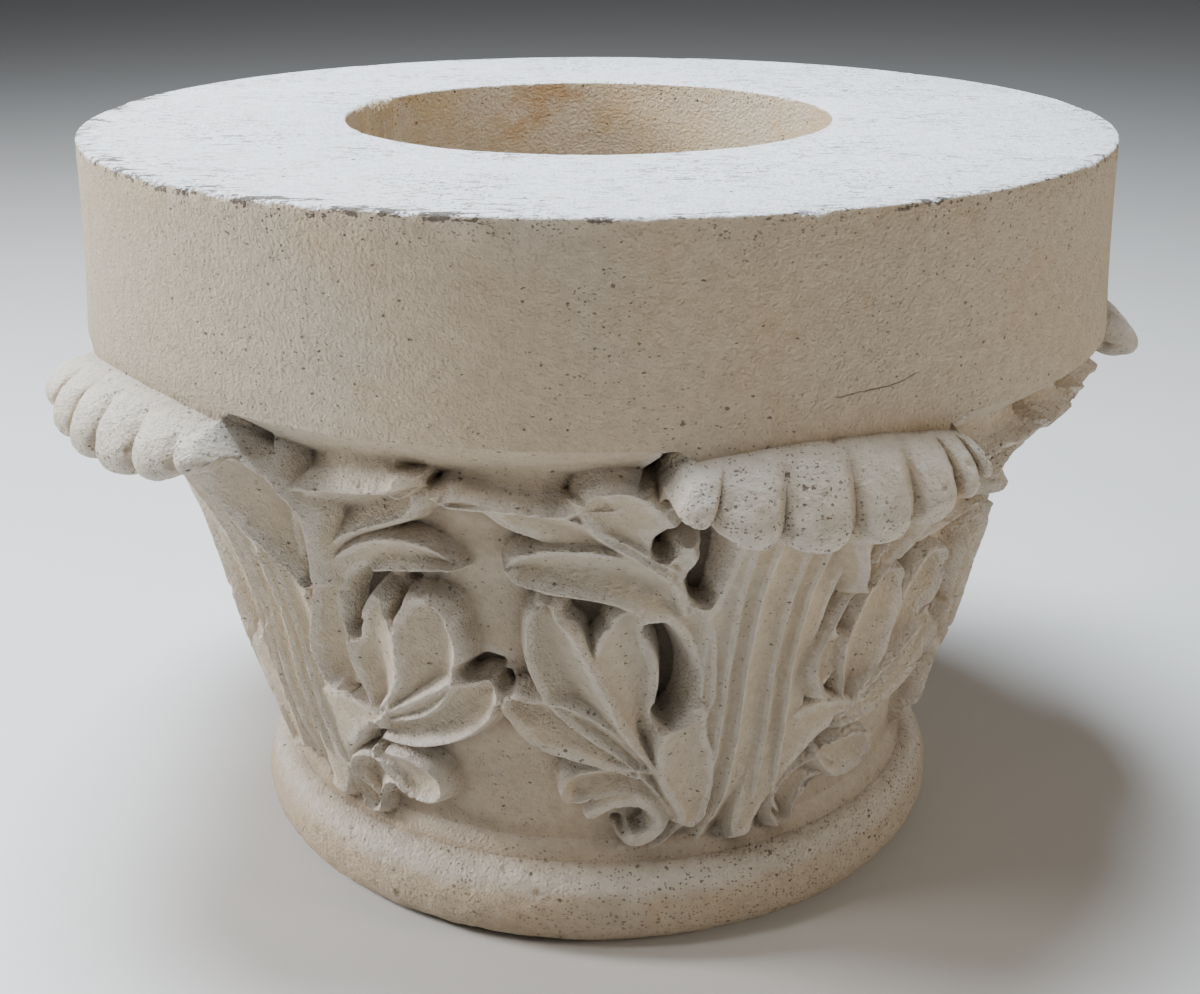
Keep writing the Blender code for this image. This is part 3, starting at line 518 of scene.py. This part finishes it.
def abacus_rows(angle):
    """The abacus's side, its worn upper edge, the top, and the bore down to its floor."""
    rim, mouth = SHARP_EDGE + edge_wear(angle, RIM_CHIPS), SHARP_EDGE + edge_wear(angle, BORE_CHIPS)
    lower, whole = TOTAL_HEIGHT - ABACUS_THICKNESS + EDGE_BAND, TOTAL_HEIGHT - CHIPPED_BAND
    rows = []
    for share in np.linspace(0, 1, SIDE_ROWS):
        rows.append(ring_points(angle, ABACUS_RADIUS + ABACUS_SPREAD * (1 - share) ** 2,
                                lower + (whole - lower) * share + 0 * angle))
    for share in (0.35, 0.7):
        rows.append(ring_points(angle, ABACUS_RADIUS + 0 * angle, whole + (CHIPPED_BAND - rim) * share))
    for turn in np.radians((15, 30, 45, 60, 75, 90)):
        rows.append(ring_points(angle, ABACUS_RADIUS - rim * (1 - math.cos(turn)),
                                TOTAL_HEIGHT - rim * (1 - math.sin(turn))))
    # Across the top the rows draw in from the abacus's own centre to the bore's.
    for share in np.linspace(0, 1, TOP_ROWS)[1:]:
        centre = (BORE_CENTRE[0] * share, BORE_CENTRE[1] * share)
        radius = (ABACUS_RADIUS - rim) * (1 - share) + (BORE_RADIUS + mouth) * share
        rows.append(ring_points(angle, radius, TOTAL_HEIGHT, centre))
    for turn in np.radians((30, 60, 90)):
        rows.append(ring_points(angle, BORE_RADIUS + mouth * (1 - math.sin(turn)),
                                TOTAL_HEIGHT - mouth * (1 - math.cos(turn)), BORE_CENTRE))
    for depth in np.linspace(0.012, BORE_DEPTH, BORE_ROWS):
        rows.append(ring_points(angle, BORE_RADIUS, TOTAL_HEIGHT - depth, BORE_CENTRE))
    rows.append(ring_points(angle, 0 * angle, TOTAL_HEIGHT - BORE_DEPTH, BORE_CENTRE))
    return rows


def spread_out(values, reach, axis):
    """A running mean over a number of steps each way; the directions close round the block."""
    padded = np.pad(values, [(reach, reach) if k == axis else (0, 0) for k in range(values.ndim)],
                    mode="wrap" if axis == 1 else "edge")
    total = np.cumsum(padded, axis=axis)
    total = np.concatenate([np.zeros_like(total.take([0], axis=axis)), total], axis=axis)
    span, width = values.shape[axis], 2 * reach + 1
    upper, lower = total.take(range(width, width + span), axis=axis), total.take(range(span), axis=axis)
    return (upper - lower) / width


def hollowness(points, reach):
    """How far each point lies below its surroundings, in millimetres: above 0 in a hollow, below 0 on a
    ridge."""
    along, up = np.gradient(points, axis=1), np.gradient(points, axis=0)
    outward = np.cross(along, up)
    outward /= np.linalg.norm(outward, axis=2, keepdims=True) + 1e-12
    mean = points
    for _ in range(2):
        mean = spread_out(spread_out(mean, reach, 0), reach, 1)
    return ((mean - points) * outward).sum(axis=2) * 1000


def block_layout():
    """Every row of the block from the middle of its underside to the middle of the bore's floor. With them
    go, for each point, its hollowness at two scales and how coarse its surface is."""
    angle = np.linspace(0, 2 * math.pi, COLUMNS + 1)
    foot = foot_rows(angle)
    bell, soffit = carved_rows(angle)
    abacus = abacus_rows(angle)
    points = np.array(foot + bell + soffit + abacus)
    open_points = points[:, :-1]
    first, last = len(foot) - DUSTY_SHADED_RING_ROWS, len(foot) + len(bell) + len(soffit)
    carved = open_points[first:last]
    fine, broad = np.zeros(open_points.shape[:2]), np.zeros(open_points.shape[:2])
    fine[first:last], broad[first:last] = hollowness(carved, FINE_REACH), hollowness(carved, BROAD_REACH)
    # The base ring and the corner tips are coarse.
    rough = np.zeros(open_points.shape[:2])
    rough[:len(foot)] = 1
    rough[len(foot) + len(bell):last] = tip_shape(angle[:-1])[0]
    return points, close_round(fine), close_round(broad), close_round(rough)


def close_round(values):
    """The rows with their first direction repeated at their end."""
    return np.concatenate([values, values[:, :1]], axis=1)


def weigh(block, name, weights):
    """A vertex group with the weights in eight steps."""
    group = block.vertex_groups.new(name=name)
    steps = np.round(np.clip(weights, 0, 1) * 8).astype(int)
    for step in range(1, 9):
        group.add(np.flatnonzero(steps == step).tolist(), step / 8, "REPLACE")


def finish_with(block, name, kind, **settings):
    """Adds a modifier and applies it."""
    modifier = block.modifiers.new(name, kind)
    for setting, value in settings.items():
        setattr(modifier, setting, value)
    bpy.ops.object.modifier_apply(modifier=name)


def grain_texture(name, kind, size, low, high):
    """A texture for displacing the stone, 0 where its own value is under low and 1 where it is over
    high."""
    texture = bpy.data.textures.new(name, kind)
    texture.noise_scale = size
    texture.use_color_ramp = True
    ends = texture.color_ramp.elements
    ends[0].position, ends[0].color = low, (0, 0, 0, 1)
    ends[1].position, ends[1].color = high, (1, 1, 1, 1)
    return texture


def weather(block):
    """Hand-cut unevenness, chipped leaf edges, and the pits of the coarse upper surfaces."""
    settings = {"texture_coords": "LOCAL", "direction": "NORMAL", "mid_level": 0.5}
    finish_with(block, "Uneven", "DISPLACE", strength=0.0016, vertex_group="carved",
                texture=grain_texture("uneven", "CLOUDS", 0.035, 0.0, 1.0), **settings)
    settings["mid_level"] = 1.0
    finish_with(block, "Pecked", "DISPLACE", strength=0.0010, vertex_group="coarse",
                texture=grain_texture("pecked", "CLOUDS", 0.014, 0.25, 0.7), **settings)
    finish_with(block, "Pits", "DISPLACE", strength=0.0016, vertex_group="coarse",
                texture=grain_texture("pits", "VORONOI", 0.014, 0.06, 0.2), **settings)
    finish_with(block, "Chipped", "DISPLACE", strength=0.0013, vertex_group="edges",
                texture=grain_texture("chipped", "CLOUDS", 0.011, 0.27, 0.36), **settings)


def carve_capital():
    """The block: a plain grid wrapped round into the capital, closed, weathered and thinned."""
    points, fine, broad, rough = block_layout()
    rows, columns = points.shape[:2]
    bpy.ops.mesh.primitive_grid_add(x_subdivisions=columns - 1, y_subdivisions=rows - 1, size=1)
    block = bpy.context.active_object
    block.name = "carved_capital"
    block.data.name = "carved_capital"
    flat = np.empty(rows * columns * 3)
    block.data.vertices.foreach_get("co", flat)
    place = (flat.reshape(-1, 3)[:, :2] + 0.5) * (columns - 1, rows - 1)
    column, row = np.round(place).astype(int).T
    block.data.vertices.foreach_set("co", points[row, column].ravel())
    kept = {"hollow": broad + 0.6 * fine, "ridge": np.maximum(-fine, 0), "coarse": rough}
    for name, values in kept.items():
        block.data.attributes.new(name, "FLOAT", "POINT").data.foreach_set("value", values[row, column])
    block.data.update()
    weigh(block, "edges", np.clip(-fine * 1.1 - 0.15, 0, 1)[row, column])
    weigh(block, "coarse", rough[row, column])
    weigh(block, "carved", np.clip(np.abs(broad) * 4, 0, 1)[row, column])
    bpy.ops.object.mode_set(mode="EDIT")
    bpy.ops.mesh.select_all(action="SELECT")
    bpy.ops.mesh.remove_doubles(threshold=1e-6)
    bpy.ops.mesh.normals_make_consistent(inside=False)
    bpy.ops.object.mode_set(mode="OBJECT")
    weather(block)
    whole = sum(face.loop_total - 2 for face in block.data.polygons)
    finish_with(block, "Thin", "DECIMATE", ratio=TRIANGLES / whole)
    bpy.ops.object.shade_smooth_by_angle(angle=SMOOTH_TURN)
    return block


class Value:
    """A shader value. Python's operators on it add Math nodes to its board."""

    def __init__(self, board, socket):
        self.board, self.socket = board, socket

    def math(self, operation, *others):
        return self.board.add("ShaderNodeMath", {"operation": operation}, (self, *others))

    def __add__(self, other):
        return self.math("ADD", other)

    def __sub__(self, other):
        return self.math("SUBTRACT", other)

    def __mul__(self, other):
        return self.math("MULTIPLY", other)

    def __rsub__(self, other):
        return self.board.add("ShaderNodeMath", {"operation": "SUBTRACT"}, (other, self))

    __radd__, __rmul__ = __add__, __mul__

    def at_least(self, other):
        return self.math("MAXIMUM", other)

    def at_most(self, other):
        return self.math("MINIMUM", other)

    def ramp(self, low, high):
        """0 where the value is under low, 1 where it is over high, and smooth between."""
        return self.board.add("ShaderNodeMapRange", {"interpolation_type": "SMOOTHSTEP"},
                              {"Value": self, "From Min": low, "From Max": high})


class Board:
    """A material's nodes."""

    def __init__(self, name):
        self.material = bpy.data.materials.new(name)
        self.material.use_nodes = True
        self.tree = self.material.node_tree
        self.shader = self.tree.nodes["Principled BSDF"]

    def add(self, kind, settings=None, inputs=(), output=0):
        """A node of a kind with its settings and the values or links of its sockets. Gives one of its
        outputs."""
        node = self.tree.nodes.new(kind)
        for name, value in (settings or {}).items():
            setattr(node, name, value)
        for key, value in inputs.items() if isinstance(inputs, dict) else enumerate(inputs):
            self.feed(node.inputs[key], value)
        return Value(self, node.outputs[output])

    def feed(self, socket, value):
        if isinstance(value, Value):
            self.tree.links.new(value.socket, socket)
        else:
            socket.default_value = value

    def mix(self, factor, first, second, blend="MIX"):
        """Two colours mixed, each a colour or a link."""
        return self.add("ShaderNodeMix", {"data_type": "RGBA", "blend_type": blend},
                        {0: factor, 6: first, 7: second}, output=2)

    def noise(self, place, scale, detail, roughness=0.5):
        return self.add("ShaderNodeTexNoise", None,
                        {"Vector": place, "Scale": scale, "Detail": detail, "Roughness": roughness})

    def cells(self, place, scale):
        """The distance from the middle of the nearest cell, and a random number for each cell."""
        node = self.tree.nodes.new("ShaderNodeTexVoronoi")
        self.feed(node.inputs["Vector"], place)
        self.feed(node.inputs["Scale"], scale)
        chance = self.add("ShaderNodeSeparateColor", None, (Value(self, node.outputs["Color"]),))
        return Value(self, node.outputs["Distance"]), chance

    def stretched(self, place, scale):
        """The place drawn out along an axis, for pores that lie in beds."""
        return self.add("ShaderNodeMapping", None, {"Vector": place, "Scale": scale})

    def ragged(self, place, scale, amount):
        """The place pushed about by a noise, for uneven outlines."""
        push = self.add("ShaderNodeTexNoise", None, {"Vector": place, "Scale": scale, "Detail": 1.0},
                        output=1)
        return self.add("ShaderNodeVectorMath", {"operation": "MULTIPLY_ADD"},
                        (push, (amount,) * 3, place))

    def apart(self, vector):
        """The three parts of a vector."""
        node = self.tree.nodes.new("ShaderNodeSeparateXYZ")
        self.feed(node.inputs[0], vector)
        return tuple(Value(self, output) for output in node.outputs)


WARM_STONE = (0.55, 0.44, 0.31, 1)
GREY_STONE = (0.53, 0.45, 0.345, 1)
# Cleaner stone with painted light: for upward faces, and for the painted highlight on ridges.
CLEAN_AND_LIT_STONE = (0.76, 0.725, 0.675, 1)
# The top plate: cleaner stone, painted cool and light as under the sky light.
CLEAN_LIT_TOP_STONE = (0.80, 0.81, 0.84, 1)
OCHRE = (0.50, 0.35, 0.18, 1)
# Dust, also used for the painted shade in the hollows.
DUST_AND_SHADE = (0.26, 0.19, 0.13, 1)
# Soot, also used for the near-black painted shade of the deepest hollows, and for the crack.
SOOT_AND_DEEP_SHADE = (0.075, 0.055, 0.04, 1)
PORE_DARK = (0.085, 0.055, 0.035, 1)
RUST = (0.34, 0.17, 0.07, 1)
RIM_GRIME = (0.10, 0.078, 0.06, 1)
FLOOR_DARK = (0.60, 0.59, 0.575, 1)
FLOOR_LIGHT = (0.64, 0.63, 0.615, 1)

# A hairline crack across the abacus's side: east, height, and how much it climbs towards the east.
CRACK_START, CRACK_END = 0.108, 0.156
CRACK_HEIGHT, CRACK_CLIMB = 0.352, 0.14


def pores(cells, share, size):
    """Pores: a share of the cells has one, and it fills up to size of the cell. 1 is a pore's bottom."""
    distance, chance = cells
    radius = (chance - (1 - share)) * (size / share)
    return (radius - distance).ramp(0.0, 0.08)


def limestone():
    """Off-white porous limestone: warm sides, upper faces cleaner and painted lighter as lit from above,
    painted highlights on ridges, dust and painted shade in the hollows, and dark pores.
    """
    board = Board("limestone_weathered")
    place = board.add("ShaderNodeTexCoord", None, (), output=3)
    east, north, height = board.apart(place)
    facing = board.apart(board.add("ShaderNodeNewGeometry", None, (), output=1))[2]
    hollow = board.add("ShaderNodeAttribute", {"attribute_name": "hollow"}, (), output=2)
    ridge = board.add("ShaderNodeAttribute", {"attribute_name": "ridge"}, (), output=2)
    coarse = board.add("ShaderNodeAttribute", {"attribute_name": "coarse"}, (), output=2)
    broad_noise = board.noise(place, 7.0, 2.0, 0.6)
    patch_noise = board.noise(place, 26.0, 3.0, 0.65)
    fine_noise = board.noise(place, 160.0, 2.0, 0.6)

    # The plain colour: warm to grey in soft patches, ochre in spots, upward faces and the top lighter as
    # cleaner stone and as painted light from above, and ridges lighter as a painted highlight.
    stone = board.mix(broad_noise.ramp(0.35, 0.65), WARM_STONE, GREY_STONE)
    stone = board.mix(patch_noise.ramp(0.5, 0.8) * 0.35, stone, OCHRE)
    upward = (facing + patch_noise * 0.3 - 0.15).ramp(0.25, 0.75)
    on_top = height.ramp(TOTAL_HEIGHT - 0.02, TOTAL_HEIGHT - 0.005)
    # Painted light: upward faces are painted lighter, as lit from above, as well as being cleaner stone.
    stone = board.mix(upward * 0.38, stone, CLEAN_AND_LIT_STONE)
    # Painted light: the top plate is painted a cooler, bluish white, as under the sky light above.
    stone = board.mix(upward * on_top * 0.92, stone, CLEAN_LIT_TOP_STONE)
    # Painted highlight: the ridges are painted lighter, as where their rims catch the light.
    ridge_highlight = (ridge + patch_noise * 0.2 - 0.1).ramp(0.12, 0.6) * 0.30
    stone = board.mix(ridge_highlight, stone, CLEAN_AND_LIT_STONE)
    speckle = fine_noise.ramp(0.2, 0.8) * 0.22
    stone = board.mix(speckle, stone, DUST_AND_SHADE, "MULTIPLY")

    # The bore's wall is warmer and stained.
    across_bore, along_bore = east - BORE_CENTRE[0], north - BORE_CENTRE[1]
    from_bore = (across_bore * across_bore + along_bore * along_bore).math("SQRT")
    inside = (BORE_RADIUS + 0.003 - from_bore).ramp(0.0, 0.002) * (1 - upward) * height.ramp(0.2, 0.25)
    stone = board.mix(inside * (0.15 + patch_noise.ramp(0.4, 0.65) * 0.5), stone, OCHRE)

    # Darker in the hollows of the carving: dust with painted shade, and in the deepest, near-black painted
    # shade with soot.
    stone = board.mix((hollow + patch_noise * 2.4 - 1.2).ramp(1.2, 6.0) * 0.45, stone, DUST_AND_SHADE)
    stone = board.mix((hollow + patch_noise * 3.6 - 1.8).ramp(4.5, 11.0) * 0.85, stone, SOOT_AND_DEEP_SHADE)

    # Pores: fine ones all over, laid flat in beds, and wide ones on the coarse upper surfaces.
    beds = board.stretched(board.ragged(place, 500.0, 0.0024), (0.8, 0.8, 1.3))
    clusters = board.noise(place, 14.0, 2.0, 0.6).ramp(0.36, 0.62)
    rough = coarse.at_least(facing.ramp(0.35, 0.8) * (1 - on_top) * 0.7)
    small_cells, large_cells = board.cells(beds, 560.0), board.cells(beds, 310.0)
    fine_pores = pores(small_cells, 0.30, 0.42) * (0.25 + clusters * 0.75)
    mid_pores = pores(large_cells, 0.09, 0.34)
    wide_pores = pores(large_cells, 0.25, 0.40) * clusters * rough
    dense_pores = pores(small_cells, 0.75, 0.50) * (0.25 + clusters * 0.6) * rough.at_least(on_top)
    bedded = board.noise(board.stretched(place, (0.45, 1.3, 1.0)), 240.0, 2.0, 0.65).ramp(0.56, 0.63)
    bedded = bedded * (0.25 + clusters * 0.75) * on_top * upward * 0.75
    deep_pores = mid_pores.at_least(wide_pores)
    pitted = deep_pores.at_least(fine_pores).at_least(dense_pores).at_least(bedded)
    stone = board.mix(pitted * (0.72 + on_top * 0.18), stone, PORE_DARK)

    # Grime along the worn upper edge of the abacus.
    outwards = (east * east + north * north).math("SQRT")
    near_rim = outwards.ramp(ABACUS_RADIUS - 0.030, ABACUS_RADIUS - 0.002)
    near_rim = near_rim * height.ramp(TOTAL_HEIGHT - 0.010, TOTAL_HEIGHT - 0.002)
    rim_left = (east * -1 - north * 0.5).ramp(0.10, 0.28)
    rim_noise = board.noise(board.stretched(place, (0.5, 1.4, 1.4)), 90.0, 4.0, 0.75)
    grime = (rim_noise + near_rim * 0.22 + rim_left * 0.07).ramp(0.79, 0.84)
    stone = board.mix(grime * 0.9, stone, RIM_GRIME)

    # A hairline crack across the side of the abacus.
    waver = (patch_noise - 0.5) * 0.012
    from_crack = (height - CRACK_HEIGHT - (east - CRACK_START) * CRACK_CLIMB - waver).math("ABSOLUTE")
    on_side = (outwards - ABACUS_RADIUS).ramp(-0.003, -0.001) * (0 - north).ramp(0.0, 0.01)
    within = east.ramp(CRACK_START, CRACK_START + 0.006) * (CRACK_END - east).ramp(0.0, 0.006)
    crack = (0.0006 - from_crack).ramp(0.0, 0.0004) * within * on_side
    stone = board.mix(crack * 0.75, stone, SOOT_AND_DEEP_SHADE)

    # A rusty run on the far wall of the bore.
    far = along_bore.ramp(0.11, 0.135) * height.ramp(TOTAL_HEIGHT - 0.06, TOTAL_HEIGHT - 0.02)
    beside = 1 - (east + 0.04).math("ABSOLUTE").ramp(0.02, 0.06)
    rust = far * beside * patch_noise.ramp(0.42, 0.6) * (1 - upward)
    stone = board.mix(rust * 0.45, stone, RUST)

    board.feed(board.shader.inputs["Base Color"], stone)
    board.feed(board.shader.inputs["Roughness"], (0.78 + pitted * 0.15 + fine_noise * 0.1).at_most(1.0))

    # The surface: fine grain, pecking and the deeper pores.
    grain = board.noise(place, 520.0, 3.0, 0.7)
    pecking = board.noise(board.stretched(place, (1.0, 1.0, 1.2)), 330.0, 1.0, 0.55)
    relief = grain * 1.2 + pecking * 0.7 - deep_pores * 1.3
    bump = board.add("ShaderNodeBump", None, {"Strength": 1.0, "Distance": 0.0018, "Height": relief})
    board.feed(board.shader.inputs["Normal"], bump)
    board.shader.inputs["Specular IOR Level"].default_value = 0.3
    return board.material


def floor_material():
    """A plain pale floor with hardly any variation."""
    board = Board("pale_floor")
    place = board.add("ShaderNodeTexCoord", None, (), output=3)
    tone = board.mix(board.noise(place, 3.0, 3.0), FLOOR_DARK, FLOOR_LIGHT)
    board.feed(board.shader.inputs["Base Color"], tone)
    board.shader.inputs["Roughness"].default_value = 0.9
    return board.material


def lay_floor():
    bpy.ops.mesh.primitive_plane_add(size=14, location=(0, 3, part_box("capital")[0][2]))
    floor = bpy.context.active_object
    floor.name = "floor"
    floor.data.materials.append(floor_material())


def hang_light(name, place, target, size, power, colour):
    """A round soft light at a place, turned towards its target."""
    light = bpy.data.lights.new(name, "AREA")
    light.shape, light.size, light.energy, light.color = "DISK", size, power, colour
    lamp = bpy.data.objects.new(name, light)
    bpy.context.scene.collection.objects.link(lamp)
    lamp.location = place
    lamp.rotation_euler = (Vector(target) - Vector(place)).to_track_quat("-Z", "Y").to_euler()


def light_studio():
    middle = (0, 0, TOTAL_HEIGHT / 2)
    hang_light("sky", (-0.3, 0.1, 2.3), (0, 0, TOTAL_HEIGHT), 1.0, 132, (0.80, 0.90, 1.0))
    hang_light("key", (-1.7, -1.0, 2.0), middle, 0.5, 18, (1.0, 0.97, 0.93))
    hang_light("window", (-2.3, 0.1, 1.2), middle, 0.6, 74, (0.98, 0.98, 1.0))
    hang_light("right", (2.2, -1.0, 0.9), middle, 0.8, 21, (1.0, 0.88, 0.72))
    world = bpy.data.worlds.new("studio")
    world.use_nodes = True
    world.node_tree.nodes["Background"].inputs["Color"].default_value = (0.86, 0.88, 0.92, 1)
    world.node_tree.nodes["Background"].inputs["Strength"].default_value = 0.10
    bpy.context.scene.world = world


# The camera: its place before the capital's middle, in metres, and how it looks, as read from the photograph.
CAMERA_PLACE = (0.0, -1.0778, 0.5983)
CAMERA_TILT = math.radians(90 - 20.41)
CAMERA_YAW = -0.0015
LENS = 53.51  # millimetres, on a sensor 36 wide


def stand_camera():
    data = bpy.data.cameras.new("camera")
    data.lens = LENS
    data.sensor_width = 36.0
    camera = bpy.data.objects.new("camera", data)
    bpy.context.scene.collection.objects.link(camera)
    camera.location = CAMERA_PLACE
    camera.rotation_euler = (CAMERA_TILT, 0.0, CAMERA_YAW)
    bpy.context.scene.camera = camera


bpy.ops.object.select_all(action="DESELECT")
capital = carve_capital()
capital.data.materials.append(limestone())
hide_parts("capital")
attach(capital, "root")
lay_floor()
light_studio()
stand_camera()
